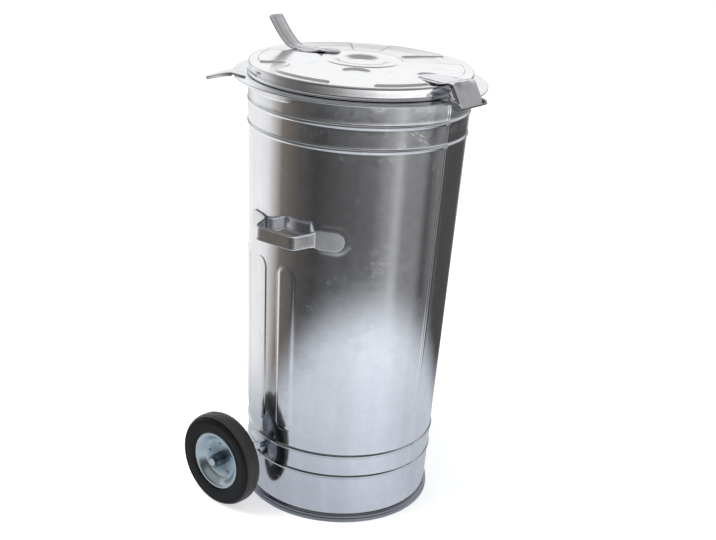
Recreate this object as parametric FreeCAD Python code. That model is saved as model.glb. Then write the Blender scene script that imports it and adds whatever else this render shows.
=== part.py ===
import FreeCAD, Part
import math
import os

# Round galvanised steel waste bin on two side wheels, millimetres.
# Origin at the middle of the foot ring on the floor, +Z up, wheels and lid lever towards +Y, lid hinge at -Y.

# Can wall
wallSheet = 1.2
wallFootRadius = 194.1
wallFlare = 0.0309
shoulderHeight = 892.0
neckRadius = 216.9
neckFoot = 897.0
neckTop = 915.0
swageHeights = (106.3, 154.2, 804.0, 849.7)
swageHalfHeight = 4.2
swageProud = 2.5
seamWidth = 10.0
seamProud = 0.9
ribCount = 10
ribFirstAzimuth = -4.5
ribPitch = 21.0
ribWidth = 37.0
ribLow = 190.0
ribHigh = 552.0
ribProud = 1.3

# Foot ring and floor plate
footRadius = 200.0
footHeight = 17.5
floorSheet = 1.5
floorHeight = 12.0
floorRaise = 4.0

# Collar
collarSheet = 1.5
collarTop = 899.0
collarRimRadius = 251.95
collarRimWire = 2.2
collarFoot = 877.0
collarFrontFoot = 889.0
gussetEndY = -104.0
gussetStartY = -10.0

# Comb lugs on the collar
lugAzimuth = 139.5
lugTip = 304.0
lugSheet = 3.0
lugFlank = 7.0

# Side handles
handleAzimuth = 185.0
handleMiddle = 623.5
handleSheet = 3.0
handleTabHeight = 40.0
handleGripHeight = 30.0
handleReach = 255.0
handleGripHalf = 46.0
handleBendAngle = 16.0
handleTabEnd = 31.7
seatHeight = 62.0
seatProud = 1.3

# Lid
lidSheet = 1.5
lidFoot = 899.3
skirtFootRadius = 222.0
skirtTopRadius = 222.2
skirtTop = 924.0
lidBead = 2.3
armCount = 6
armHalfOuter = 43.0
armHalfInner = 30.0
armInnerRadius = 88.0
armShoulderRadius = 118.0
plateRadius = 207.0

# Lid hinge
pinY = -266.2
pinZ = 892.4
pinRadius = 3.2
pinPlay = 0.05
knuckleRadius = 5.4
strapSheet = 2.2
tongueHalf = 36.0
hoodFlank = 7.5
hoodFlankSheet = 2.5
earInner = 37.0
earOuter = 42.0

# Lid lever
leverSheet = 3.0
leverHalf = 20.0
leverRidgeHalf = 9.0
leverFlangeHalf = 28.0

# Rivets of strap and lever
rivetShank = 1.9
strapRivetHead = 4.2
leverRivetHead = 2.9

# Wheels and axles
axleY = 100.0
axleZ = 100.0
wheelX = 259.0
axleRadius = 10.0
axleRunning = 0.05
hubHalf = 21.0
hubRadius = 14.0
rimSheet = 2.0
rimRivetCircle = 33.0
rimRivetCount = 5
rimRivetStart = 84.0
rimRivetShank = 2.4
rimRivetHead = 4.0
bracketHalfLength = 22.0
bracketHalfHeight = 19.0
bracketX = 229.0
bracketSheet = 3.0

gap = 0.3
up = FreeCAD.Vector(0, 0, 1)
home = FreeCAD.Vector(0, 0, 0)


def wallRadius(z):
    return wallFootRadius + wallFlare * z


def offsetPath(points, distance):
    """Mitred offset of an open path to its right-hand side."""
    moved = []
    last = len(points) - 1
    for i, (a, b) in enumerate(points):
        before = points[max(i - 1, 0)]
        after = points[min(i + 1, last)]
        normals = []
        for p, q in ((before, (a, b)), ((a, b), after)):
            length = math.hypot(q[0] - p[0], q[1] - p[1])
            if length > 1e-9:
                normals.append(((q[1] - p[1]) / length, -(q[0] - p[0]) / length))
        first = normals[0]
        second = normals[-1]
        scale = distance / (1 + first[0] * second[0] + first[1] * second[1])
        moved.append((a + (first[0] + second[0]) * scale, b + (first[1] + second[1]) * scale))
    return moved


def faceFrom(vectors):
    return Part.Face(Part.makePolygon(vectors + [vectors[0]]))


def spun(points):
    """Ring about the can's axis from (radius, height) points."""
    vectors = [FreeCAD.Vector(r, 0, z) for r, z in points]
    return faceFrom(vectors).revolve(home, up, 360)


def spunSheet(path, thickness):
    inner = offsetPath(path, thickness)
    return spun(path + inner[::-1])


def wheelSpun(points):
    """Ring about the X axis through the origin from (radius, width) points."""
    vectors = [FreeCAD.Vector(w, 0, r) for r, w in points]
    return faceFrom(vectors).revolve(home, FreeCAD.Vector(1, 0, 0), 360)


def plateAlongX(points, halfWidth):
    """Prism across the bin from (y, z) points."""
    vectors = [FreeCAD.Vector(-halfWidth, y, z) for y, z in points]
    return faceFrom(vectors).extrude(FreeCAD.Vector(2 * halfWidth, 0, 0))


def sheetAlongX(path, thickness, halfWidth):
    inner = offsetPath(path, thickness)
    return plateAlongX(path + inner[::-1], halfWidth)


def rodX(radius, x0, x1, y, z):
    return Part.makeCylinder(radius, x1 - x0, FreeCAD.Vector(x0, y, z), FreeCAD.Vector(1, 0, 0))


def turned(shape, degrees):
    copy = shape.copy()
    copy.rotate(home, up, degrees)
    return copy


def mirrored(shape):
    return shape.mirror(home, FreeCAD.Vector(1, 0, 0))


def wallBand(inner, outer, low, high):
    """Band that follows the flared wall between two offsets from it."""
    return spun([(wallRadius(low) + inner, low), (wallRadius(low) + outer, low),
                 (wallRadius(high) + outer, high), (wallRadius(high) + inner, high)])


def stadiumPrism(halfAcross, halfUp, middle):
    """Round-ended prism that runs outwards along +X, across Y and up Z."""
    radius = min(halfAcross, halfUp)
    start = 150.0
    depth = 110.0
    alongX = FreeCAD.Vector(1, 0, 0)
    body = Part.makeBox(depth, 2 * (halfAcross - radius) + 1e-3 + (2 * radius if halfUp > halfAcross else 0),
                        2 * (halfUp - radius) + (2 * radius if halfAcross > halfUp else 0))
    width = body.BoundBox.YLength
    height = body.BoundBox.ZLength
    body.translate(FreeCAD.Vector(start, -width / 2, middle - height / 2))
    for sign in (-1, 1):
        dy = sign * (halfAcross - radius)
        dz = sign * (halfUp - radius)
        end = Part.makeCylinder(radius, depth, FreeCAD.Vector(start, dy, middle + dz), alongX)
        body = body.fuse(end)
    return body.removeSplitter()


def wallPad(azimuth, halfAcross, halfUp, middle, proud):
    band = wallBand(-wallSheet / 2, proud, middle - halfUp - 5, middle + halfUp + 5)
    return turned(stadiumPrism(halfAcross, halfUp, middle), azimuth).common(band)


def swage(z, proud):
    """Lens ring that stands proud of the wall round one swage line."""
    low = FreeCAD.Vector(wallRadius(z - swageHalfHeight) - wallSheet / 2, 0, z - swageHalfHeight)
    high = FreeCAD.Vector(wallRadius(z + swageHalfHeight) - wallSheet / 2, 0, z + swageHalfHeight)
    crest = FreeCAD.Vector(wallRadius(z) + proud, 0, z)
    wire = Part.Wire([Part.Arc(low, crest, high).toShape(), Part.LineSegment(high, low).toShape()])
    return Part.Face(wire).revolve(home, up, 360)


def handleSeatAzimuths():
    middle = (handleBendAngle - 2.0 + handleTabEnd + 3.3) / 2
    return [handleAzimuth - middle, handleAzimuth + middle, -5.0 - middle, -5.0 + middle]


def makeBodyShell():
    path = [(wallRadius(0.5), 0.5), (wallRadius(shoulderHeight), shoulderHeight),
            (neckRadius + 1.2, neckFoot - 1.5), (neckRadius, neckFoot + 0.5), (neckRadius, neckTop - 3.0),
            (neckRadius - 0.8, neckTop - 0.8), (neckRadius - 2.6, neckTop)]
    shell = spunSheet(path[::-1], wallSheet)
    for z in swageHeights:
        shell = shell.fuse(swage(z, swageProud))
    seamLow = footHeight + 0.5
    seamHigh = collarFoot - 3.0
    seamBox = Part.makeBox(seamWidth, 80, seamHigh - seamLow, FreeCAD.Vector(-seamWidth / 2, -240, seamLow))
    shell = shell.fuse(seamBox.common(wallBand(-wallSheet / 2, seamProud, seamLow - 1, seamHigh + 1)))
    ribMiddle = (ribLow + ribHigh) / 2
    for i in range(ribCount):
        azimuth = ribFirstAzimuth + i * ribPitch
        shell = shell.fuse(wallPad(azimuth, ribWidth / 2, (ribHigh - ribLow) / 2, ribMiddle, ribProud))
    for azimuth in handleSeatAzimuths():
        shell = shell.fuse(wallPad(azimuth, 40.0, seatHeight / 2, handleMiddle + 1.5, seatProud))
    return shell.removeSplitter()


def makeBottomPlate():
    outer = wallRadius(0) - wallSheet - gap - 0.1
    path = [(outer, 1.0), (outer, floorHeight), (outer - 4.0, floorHeight + floorSheet + 1.0), (120.0, floorHeight + 2.5),
            (112.0, floorHeight + 2.5 + floorRaise), (0.0, floorHeight + 2.5 + floorRaise)]
    under = offsetPath(path, -floorSheet)
    return spun(path + under[::-1])


def makeBaseRing():
    inner = wallRadius(footHeight) + gap
    return spun([(inner, 0.0), (footRadius - 1.4, 0.0), (footRadius, 1.4), (footRadius, 8.2),
                 (footRadius - 0.5, 9.2), (footRadius - 1.2, 9.8), (footRadius - 1.2, 10.6),
                 (footRadius - 0.7, 11.4), (footRadius - 0.7, 14.0), (footRadius - 1.6, 16.4),
                 (footRadius - 3.2, footHeight), (inner, footHeight)])


def makeCollarRing():
    """Flat flange with a rolled rim, a short foot round the can and a sloping gusset round the rear."""
    rimMiddle = collarRimRadius - collarRimWire
    flange = spun([(neckRadius + gap, collarTop - collarSheet), (rimMiddle, collarTop - collarSheet),
                   (rimMiddle, collarTop), (neckRadius + gap, collarTop)])
    rim = Part.makeTorus(rimMiddle, collarRimWire, FreeCAD.Vector(0, 0, collarTop - collarRimWire), up)
    inside = wallRadius(shoulderHeight) + gap
    foot = spun([(inside, collarFrontFoot), (inside + collarSheet, collarFrontFoot),
                 (inside + collarSheet, collarTop - 0.5), (inside, collarTop - 0.5)])
    inside = wallRadius(collarFoot) + gap
    cone = spunSheet([(rimMiddle + 0.8, collarTop - 2 * collarRimWire + 0.4),
                      (inside + collarSheet, collarFoot + 1.5), (inside + collarSheet, collarFoot - 2.0)], collarSheet)
    slope = (collarTop - collarFoot) / (gussetStartY - gussetEndY)
    front = gussetEndY - 200
    back = gussetStartY + 60
    frontHeight = collarFoot + slope * (gussetStartY - front)
    backHeight = collarFoot + slope * (gussetStartY - back)
    wedge = plateAlongX([(front, frontHeight), (back, backHeight), (back, 700), (front, 700)], 300)
    return flange.fuse([rim, foot, cone.cut(wedge)]).removeSplitter()


def lugSide(inset):
    """Half widths of a lug along its length, as (reach, half width)."""
    side = [(231.0, 44.0), (241.0, 33.0), (250.0, 22.0), (261.0, 13.5), (275.0, 9.0), (289.0, 7.2), (lugTip - 3.5, 5.2)]
    return [(u - (inset if u > 290 else 0), v - inset) for u, v in side]


def lugPlan(inset, low, high):
    side = lugSide(inset)
    left = [FreeCAD.Vector(u, v, low) for u, v in side]
    right = [FreeCAD.Vector(u, -v, low) for u, v in side]
    curveLeft = Part.BSplineCurve()
    curveLeft.interpolate(left)
    curveRight = Part.BSplineCurve()
    curveRight.interpolate(right)
    tip = FreeCAD.Vector(lugTip - inset, 0, low)
    nose = Part.Arc(left[-1], tip, right[-1]).toShape()
    back = Part.LineSegment(right[0], left[0]).toShape()
    wire = Part.Wire(Part.__sortEdges__([curveLeft.toShape(), nose, curveRight.toShape(), back]))
    return Part.Face(wire).extrude(FreeCAD.Vector(0, 0, high - low))


def lugBand(drop):
    """Arched strip of the lug's side view, swung round the can."""
    top = [(228.0, 902.4), (254.0, 902.4), (264.0, 901.2), (277.0, 898.0), (290.0, 894.4), (300.0, 891.6), (308.0, 889.3)]
    bottom = [(r, z - drop) for r, z in top]
    return spun(top + bottom[::-1])


def makeLug():
    deck = lugPlan(0.0, 860, 920).common(lugBand(lugSheet))
    rimWall = lugPlan(0.0, 860, 920).cut(lugPlan(lugSheet, 850, 930))
    flank = rimWall.common(lugBand(lugFlank))
    keepOut = spun([(200, 880), (collarRimRadius + gap, 880), (collarRimRadius + gap, collarTop + gap), (200, collarTop + gap)])
    lug = deck.fuse(flank.cut(keepOut)).removeSplitter()
    return turned(lug, lugAzimuth)


def handleStrip(halfThickness, low, high):
    """Grip and two legs, as a bent strip in plan, round +X."""
    bend = math.radians(handleBendAngle)
    footRadiusHere = wallRadius(handleMiddle) + seatProud + gap + handleSheet / 2
    foot = (footRadiusHere * math.cos(bend), footRadiusHere * math.sin(bend))
    path = [(foot[0], -foot[1]), (handleReach - 5, -handleGripHalf - 1.4), (handleReach, -handleGripHalf + 4),
            (handleReach, handleGripHalf - 4), (handleReach - 5, handleGripHalf + 1.4), foot]
    outer = offsetPath(path, halfThickness)
    inner = offsetPath(path, -halfThickness)
    vectors = [FreeCAD.Vector(x, y, low) for x, y in outer + inner[::-1]]
    return faceFrom(vectors).extrude(FreeCAD.Vector(0, 0, high - low))


def makeHandle():
    low = handleMiddle - handleGripHeight / 2
    high = handleMiddle + handleGripHeight / 2
    handle = handleStrip(handleSheet / 2, low, high)
    handle = handle.fuse([handleStrip(2.4, low, low + 3.5), handleStrip(2.4, high - 3.5, high)])
    halfTab = handleTabHeight / 2
    tabBand = wallBand(seatProud + gap, seatProud + gap + handleSheet, handleMiddle - halfTab - 5, handleMiddle + halfTab + 5)
    handle = handle.cut(wallBand(-30, seatProud + gap, handleMiddle - 60, handleMiddle + 60))
    reach = math.radians(handleTabEnd - handleBendAngle) * wallRadius(handleMiddle) / 2 + 3.0
    middle = (handleTabEnd + handleBendAngle) / 2 - 0.8
    for side in (-1, 1):
        tab = turned(stadiumPrism(reach, halfTab, handleMiddle), side * middle).common(tabBand)
        handle = handle.fuse(tab)
    return turned(handle.removeSplitter(), handleAzimuth)


def lidTop(depth):
    """Raised star of the lid, (radius, height) from the middle outwards, lowered by depth."""
    top = [(0.0, 925.0), (14.0, 925.0), (30.0, 926.6), (46.0, 930.6), (58.0, 933.4), (72.0, 934.0), (86.0, 933.2),
           (140.0, 931.4), (plateRadius - 3.5, 928.8), (plateRadius, 926.6)]
    return [(max(r - (depth if r > 200 else 0), 0.0), z - depth) for r, z in top]


def lidBase(depth):
    """Dome, flat rim and skirt under the raised star."""
    return [(0.0, 924.0 - depth), (86.0, 928.6 - depth), (140.0, 927.2 - depth), (205.0, 924.6 - depth),
            (skirtTopRadius - 2.5 - 0.6 * depth, skirtTop + 0.4 - depth),
            (skirtTopRadius - depth, skirtTop - 2.0 - 0.6 * depth), (skirtFootRadius - depth, lidFoot - (2 if depth else 0))]


def armPocket(grow, low, high):
    """Recess between two raised sectors, along +X."""
    shoulder = armHalfInner + grow
    outer = armHalfOuter + grow
    a = FreeCAD.Vector(armShoulderRadius, shoulder, low)
    b = FreeCAD.Vector(armShoulderRadius, -shoulder, low)
    nose = FreeCAD.Vector(armInnerRadius - grow, 0, low)
    c = FreeCAD.Vector(230, outer + 2, low)
    d = FreeCAD.Vector(230, -outer - 2, low)
    edges = [Part.Arc(a, nose, b).toShape(), Part.LineSegment(b, d).toShape(), Part.LineSegment(d, c).toShape(),
             Part.LineSegment(c, a).toShape()]
    return Part.Face(Part.Wire(edges)).extrude(FreeCAD.Vector(0, 0, high - low))


def lidBlock(depth):
    foot = lidFoot - (2 if depth else 0)
    base = spun(lidBase(depth) + [(0.0, foot)])
    floor = 921.0 - depth
    star = spun(lidTop(depth) + [(plateRadius - depth, floor), (0.0, floor)])
    for i in range(armCount):
        pocket = turned(armPocket(depth, floor - 5, 945), 30 + i * 360 / armCount)
        star = star.cut(pocket)
    return base.fuse(star)


def makeLidShell():
    lid = lidBlock(0.0).cut(lidBlock(lidSheet))
    bead = Part.makeTorus(skirtFootRadius, lidBead, FreeCAD.Vector(0, 0, lidFoot + lidBead), up)
    lid = lid.cut(rivetHoles(strapRivetSpots() + leverRivetSpots()))
    return lid.fuse(bead).removeSplitter()


def hoodPath():
    """Hinge strap from its top fold down to the knuckle."""
    return [(-240.0, 933.6), (-248.0, 931.8), (-252.9, 923.9), (-258.5, 914.4), (-270.6, 894.9)]


def tonguePath():
    return [(-150.0, 929.6), (-214.0, 928.2), (-231.0, 932.4)] + hoodPath()


def makeHingeStrap():
    strap = sheetAlongX(tonguePath()[::-1], strapSheet, tongueHalf)
    outside = Part.makeBox(200, 60, 60, FreeCAD.Vector(-100, -186, 900))
    nose = Part.makeCylinder(tongueHalf, 60, FreeCAD.Vector(0, -186, 900), up)
    strap = strap.cut(outside.cut(nose))
    flank = sheetAlongX(hoodPath()[::-1], hoodFlank, tongueHalf)
    between = 2 * (tongueHalf - hoodFlankSheet)
    flank = flank.cut(Part.makeBox(between, 80, 80, FreeCAD.Vector(-between / 2, -290, 870)))
    knuckle = rodX(knuckleRadius, -tongueHalf, tongueHalf, pinY, pinZ)
    strap = strap.fuse([flank, knuckle])
    return strap.cut([rodX(pinRadius + pinPlay, -60, 60, pinY, pinZ)] + rivetHoles(strapRivetSpots())).removeSplitter()


def heightOn(path, reach):
    """Height of a (reach, height) path at one reach."""
    for (a, low), (b, high) in zip(path, path[1:]):
        if min(a, b) <= reach <= max(a, b):
            return low + (high - low) * (reach - a) / (b - a)
    return path[-1][1]


def strapRivetSpots():
    spots = []
    for x in (-24.0, 24.0):
        for y in (-176.0, -203.0):
            spots.append((x, y, heightOn(tonguePath(), y)))
    return spots


def leverRivetSpots():
    spots = []
    for x in (-24.0, 24.0):
        for y in (120.0, 144.0):
            spots.append((x, y, heightOn(leverFlangePath(), y)))
    return spots


def rivetHoles(spots):
    holes = []
    for x, y, top in spots:
        holes.append(Part.makeCylinder(rivetShank + 0.1, 60, FreeCAD.Vector(x, y, top - 30), up))
    return holes


def makeRivets(spots, headRadius):
    """Shanks through lid and strap with flat heads above and below."""
    rivets = []
    for x, y, top in spots:
        under = heightOn(lidBase(0.0), math.hypot(x, y)) - lidSheet - 0.35
        high = top + 0.25
        shank = Part.makeCylinder(rivetShank, high - under, FreeCAD.Vector(x, y, under), up)
        head = Part.makeCone(headRadius, headRadius * 0.6, 1.3, FreeCAD.Vector(x, y, high), up)
        tail = Part.makeCone(headRadius * 0.6, headRadius, 1.3, FreeCAD.Vector(x, y, under - 1.3), up)
        rivets.append(shank.fuse([head, tail]).removeSplitter())
    return Part.makeCompound(rivets)


def makeHingeBracket():
    """Deck on the collar between two ears that reach over the rim to the pin."""
    low = collarTop + gap
    profile = [(-228.0, low), (-228.0, low + 3.0), (-262.0, low + 3.0), (-269.5, low + 1.0), (-274.0, 898.0),
               (-275.4, 894.0), (-274.0, 890.4), (-270.0, 888.2), (-262.0, 887.8), (-257.0, 888.6),
               (-254.0, 891.0), (-253.0, 895.0), (-253.0, low)]
    ears = plateAlongX(profile, earOuter)
    between = 2 * earInner
    ears = ears.cut(Part.makeBox(between, 100, 60, FreeCAD.Vector(-earInner, -300, 860)))
    deck = Part.makeBox(between + 1, 16.0, 3.0, FreeCAD.Vector(-earInner - 0.5, -246.0, low))
    bracket = ears.fuse(deck)
    return bracket.cut(rodX(pinRadius, -60, 60, pinY, pinZ)).removeSplitter()


def makeHingePin():
    return rodX(pinRadius - 0.001, -earOuter - 3.2, earOuter + 3.2, pinY, pinZ)


def makePinRings():
    rings = []
    for side in (-1, 1):
        inner = side * (earOuter + 0.3)
        outer = side * (earOuter + 1.9)
        ring = rodX(knuckleRadius, min(inner, outer), max(inner, outer), pinY, pinZ)
        rings.append(ring.cut(rodX(pinRadius, -60, 60, pinY, pinZ)))
    return Part.makeCompound(rings)


def leverPath():
    return [(62.0, 937.6), (97.0, 937.0), (110.0, 931.9), (116.0, 931.2), (168.0, 929.6), (178.0, 930.8),
            (190.0, 937.0), (204.0, 948.0), (220.0, 964.0), (237.0, 985.0)]


def leverFlangePath():
    return [(112.0, 930.4), (152.0, 929.1)]


def leverRidgePath():
    """Raised middle of the hat section."""
    return [(66.0, 939.2), (98.0, 938.6), (111.0, 933.5), (117.0, 932.8), (168.0, 931.4),
            (178.0, 932.6), (189.0, 938.4), (203.0, 949.4), (219.0, 965.4), (233.0, 982.5)]


def makeLever():
    strip = sheetAlongX(leverPath(), leverSheet, leverHalf)
    nose = Part.makeCylinder(leverHalf, 80, FreeCAD.Vector(0, 82, 900), up)
    endBox = Part.makeBox(2 * leverHalf, 200, 140, FreeCAD.Vector(-leverHalf, 82, 900))
    strip = strip.common(endBox.fuse(nose))
    flange = sheetAlongX(leverFlangePath(), 2.0, leverFlangeHalf)
    ridge = sheetAlongX(leverRidgePath(), 2.4, leverRidgeHalf)
    lever = strip.fuse([flange, ridge]).removeSplitter()
    return lever.cut(rivetHoles(leverRivetSpots()))


def makeAxleBracket():
    """Channel between the can wall and the wheel on the +X side."""
    low = axleZ - bracketHalfHeight
    length = 2 * bracketHalfLength
    outer = Part.makeBox(120, length, 2 * bracketHalfHeight, FreeCAD.Vector(bracketX - 120, axleY - bracketHalfLength, low))
    inner = Part.makeBox(120, length + 10, 2 * (bracketHalfHeight - bracketSheet),
                         FreeCAD.Vector(bracketX - 120 - bracketSheet, axleY - bracketHalfLength - 5, low + bracketSheet))
    channel = outer.cut(inner)
    channel = channel.cut(wallBand(-180, gap + swageProud, low - 5, axleZ + bracketHalfHeight + 5))
    channel = channel.cut(rodX(axleRadius, 100, 300, axleY, axleZ))
    return channel.removeSplitter()


def makeStubAxle():
    shaft = rodX(axleRadius, bracketX - 30, wheelX + hubHalf + 6.5, axleY, axleZ)
    collar = rodX(axleRadius + 5, bracketX + 0.0, bracketX + 6.0, axleY, axleZ)
    backNut = rodX(axleRadius + 5, bracketX - bracketSheet - 8.0, bracketX - bracketSheet, axleY, axleZ)
    groove = rodX(axleRadius + 1, wheelX + hubHalf + 2.6, wheelX + hubHalf + 4.2, axleY, axleZ)
    groove = groove.cut(rodX(axleRadius - 1.2, 200, 320, axleY, axleZ))
    return shaft.fuse([collar, backNut]).cut(groove).removeSplitter()


def makeAxleWashers():
    washers = []
    for x in (wheelX - hubHalf - 2.2, wheelX + hubHalf + 0.5):
        disc = rodX(axleRadius + 3.6, x, x + 1.8, axleY, axleZ)
        washers.append(disc.cut(rodX(axleRadius + axleRunning, 200, 320, axleY, axleZ)))
    return Part.makeCompound(washers)


def makeAxleClip():
    x = wheelX + hubHalf + 2.8
    clip = rodX(axleRadius + 2.8, x, x + 1.2, axleY, axleZ)
    clip = clip.cut(rodX(axleRadius - 1.1, 200, 320, axleY, axleZ))
    slot = Part.makeBox(4, 7, 30, FreeCAD.Vector(x - 1, axleY - 3.5, axleZ - 30))
    return clip.cut(slot)


def placedWheel(shape):
    copy = shape.copy()
    copy.translate(FreeCAD.Vector(wheelX, axleY, axleZ))
    return copy


def tyreHalf():
    return [(47.8, 0.0), (47.9, 3.1), (55.9, 12.7), (58.9, 15.3), (61.9, 15.3), (62.4, 17.4), (66.0, 18.8), (74.0, 19.7),
            (82.0, 19.9), (88.0, 19.2), (93.0, 17.2), (96.8, 13.6), (98.9, 8.6), (99.6, 3.0)]


def makeTyre():
    half = tyreHalf()
    other = [(r, -w) for r, w in half[1:]]
    return placedWheel(wheelSpun(half + other[::-1]))


def rimPath():
    return [(hubRadius + 0.2, 2.4), (39.0, 2.4), (43.5, 3.4), (46.2, 6.0), (53.6, 14.9), (57.6, 17.6), (61.3, 17.6)]


def rimDisc(side):
    path = rimPath()
    inner = offsetPath(path, rimSheet)
    profile = [(r, side * w) for r, w in path + inner[::-1]]
    holes = [rodX(rimRivetShank + 0.1, -30, 30, y, z) for y, z in rimRivetSpots()]
    return placedWheel(wheelSpun(profile).cut(holes))


def rimRivetSpots():
    spots = []
    for i in range(rimRivetCount):
        angle = math.radians(rimRivetStart + i * 360 / rimRivetCount)
        spots.append((rimRivetCircle * math.cos(angle), rimRivetCircle * math.sin(angle)))
    return spots


def makeHubTube():
    tube = wheelSpun([(axleRadius + axleRunning, -hubHalf), (hubRadius, -hubHalf), (hubRadius, hubHalf),
                      (axleRadius + axleRunning, hubHalf)])
    return placedWheel(tube)


def makeRimRivets():
    rivets = []
    seat = rimPath()[0][1] + 0.1
    for y, z in rimRivetSpots():
        shank = rodX(rimRivetShank, -seat, seat, y, z)
        heads = []
        for side in (-1, 1):
            outward = FreeCAD.Vector(side, 0, 0)
            heads.append(Part.makeCone(rimRivetHead, rimRivetHead * 0.7, 2.0, FreeCAD.Vector(side * seat, y, z), outward))
        rivets.append(placedWheel(shank.fuse(heads).removeSplitter()))
    return Part.makeCompound(rivets)


def makeParts():
    parts = {
        "body_shell": makeBodyShell(),
        "bottom_plate": makeBottomPlate(),
        "base_ring": makeBaseRing(),
        "collar_ring": makeCollarRing(),
        "lug_left": makeLug(),
        "handle_left": makeHandle(),
        "hinge_bracket": makeHingeBracket(),
        "hinge_pin": makeHingePin(),
        "hinge_pin_rings": makePinRings(),
        "lid_shell": makeLidShell(),
        "hinge_strap": makeHingeStrap(),
        "hinge_strap_rivets": makeRivets(strapRivetSpots(), strapRivetHead),
        "lid_lever": makeLever(),
        "lid_lever_rivets": makeRivets(leverRivetSpots(), leverRivetHead),
    }
    parts["lug_right"] = mirrored(parts["lug_left"])
    parts["handle_right"] = mirrored(parts["handle_left"])
    rightHand = {
        "axle_bracket": makeAxleBracket(),
        "stub_axle": makeStubAxle(),
        "axle_washers": makeAxleWashers(),
        "axle_clip": makeAxleClip(),
        "tyre": makeTyre(),
        "outer_rim_disc": rimDisc(1),
        "inner_rim_disc": rimDisc(-1),
        "hub_tube": makeHubTube(),
        "rim_rivets": makeRimRivets(),
    }
    for name, shape in rightHand.items():
        parts[name + "_right"] = shape
        parts[name + "_left"] = mirrored(shape)
    return parts


os.makedirs("parts", exist_ok=True)
for name, shape in makeParts().items():
    if shape.ShapeType == "Compound" and len(shape.Solids) == 1:
        shape = shape.Solids[0]
    print(name, "solids", len(shape.Solids), "volume", round(shape.Volume), "valid", shape.isValid(), shape.BoundBox)
    shape.exportStep("parts/" + name + ".step")
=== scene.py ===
import bpy
import math
import numpy as np
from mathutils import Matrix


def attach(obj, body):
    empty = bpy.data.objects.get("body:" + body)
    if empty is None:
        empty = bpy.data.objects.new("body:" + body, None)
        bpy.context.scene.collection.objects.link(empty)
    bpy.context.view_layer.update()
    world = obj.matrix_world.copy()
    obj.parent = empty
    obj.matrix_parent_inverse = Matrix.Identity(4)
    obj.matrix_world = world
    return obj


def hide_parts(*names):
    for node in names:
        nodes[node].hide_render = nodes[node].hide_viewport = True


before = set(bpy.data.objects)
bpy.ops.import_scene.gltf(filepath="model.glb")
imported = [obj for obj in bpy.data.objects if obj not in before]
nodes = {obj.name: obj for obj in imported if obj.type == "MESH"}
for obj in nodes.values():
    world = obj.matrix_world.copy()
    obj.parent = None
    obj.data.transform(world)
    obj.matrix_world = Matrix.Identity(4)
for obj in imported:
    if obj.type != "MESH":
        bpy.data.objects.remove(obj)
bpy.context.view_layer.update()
bpy.context.scene.view_settings.view_transform = "Standard"
print("frame loaded")


def clearSelection():
    if bpy.context.object and bpy.context.object.mode != "OBJECT":
        bpy.ops.object.mode_set(mode="OBJECT")
    bpy.ops.object.select_all(action="DESELECT")


def spinPiece(name, profile, steps, axis=(0, 0, 1), centre=(0, 0, 0)):
    # one point pulled along the profile, (radius, height) in mm, then spun full circle
    clearSelection()
    alongX = axis[0] == 1
    place = lambda r, h: (h / 1000 + centre[0], centre[1], r / 1000 + centre[2]) if alongX else (r / 1000, 0, h / 1000)
    bpy.ops.mesh.primitive_plane_add(size=0.002, location=place(*profile[0]))
    piece = bpy.context.object
    piece.name = name
    bpy.ops.object.transform_apply(location=True)
    bpy.ops.object.mode_set(mode="EDIT")
    bpy.ops.mesh.merge(type="CENTER")
    for a, b in zip(profile, profile[1:]):
        start, end = place(*a), place(*b)
        move = tuple(q - p for p, q in zip(start, end))
        bpy.ops.mesh.extrude_region_move(TRANSFORM_OT_translate={"value": move})
    bpy.ops.mesh.select_all(action="SELECT")
    bpy.ops.mesh.spin(steps=steps, angle=2 * math.pi, center=centre, axis=axis)
    bpy.ops.mesh.select_all(action="SELECT")
    bpy.ops.mesh.remove_doubles(threshold=0.00002)
    bpy.ops.mesh.normals_make_consistent(inside=False)
    bpy.ops.object.mode_set(mode="OBJECT")
    return piece


def pointsOf(piece):
    flat = np.empty(len(piece.data.vertices) * 3)
    piece.data.vertices.foreach_get("co", flat)
    return flat.reshape(-1, 3)


def setPoints(piece, points):
    piece.data.vertices.foreach_set("co", points.ravel())
    piece.data.update()


def sweptPiece(name, stations, around, place, closedEnds=True):
    # a flat grid rolled into a tube: place(row, column) gives each point in mm
    clearSelection()
    bpy.ops.mesh.primitive_grid_add(x_subdivisions=stations - 1, y_subdivisions=around, size=2)
    piece = bpy.context.object
    piece.name = name
    points = pointsOf(piece)
    row = np.round((points[:, 0] + 1) / 2 * (stations - 1)).astype(int)
    column = np.round((points[:, 1] + 1) / 2 * around).astype(int) % around
    setPoints(piece, place(row, column) / 1000)
    bpy.ops.object.mode_set(mode="EDIT")
    bpy.ops.mesh.select_all(action="SELECT")
    bpy.ops.mesh.remove_doubles(threshold=0.00001)
    if closedEnds:
        bpy.ops.mesh.select_all(action="DESELECT")
        bpy.ops.mesh.select_mode(type="EDGE")
        bpy.ops.mesh.select_non_manifold()
        bpy.ops.mesh.fill()
        bpy.ops.mesh.select_mode(type="VERT")
    bpy.ops.mesh.select_all(action="SELECT")
    bpy.ops.mesh.normals_make_consistent(inside=False)
    bpy.ops.object.mode_set(mode="OBJECT")
    return piece


def resampled(path, spacing):
    # evenly spaced points along a polyline, with its length so far
    path = np.array(path, float)
    steps = np.hypot(*np.diff(path, axis=0).T)
    length = np.concatenate([[0], np.cumsum(steps)])
    count = max(2, int(round(length[-1] / spacing)) + 1)
    along = np.linspace(0, length[-1], count)
    return np.column_stack([np.interp(along, length, path[:, 0]), np.interp(along, length, path[:, 1])]), along


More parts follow.
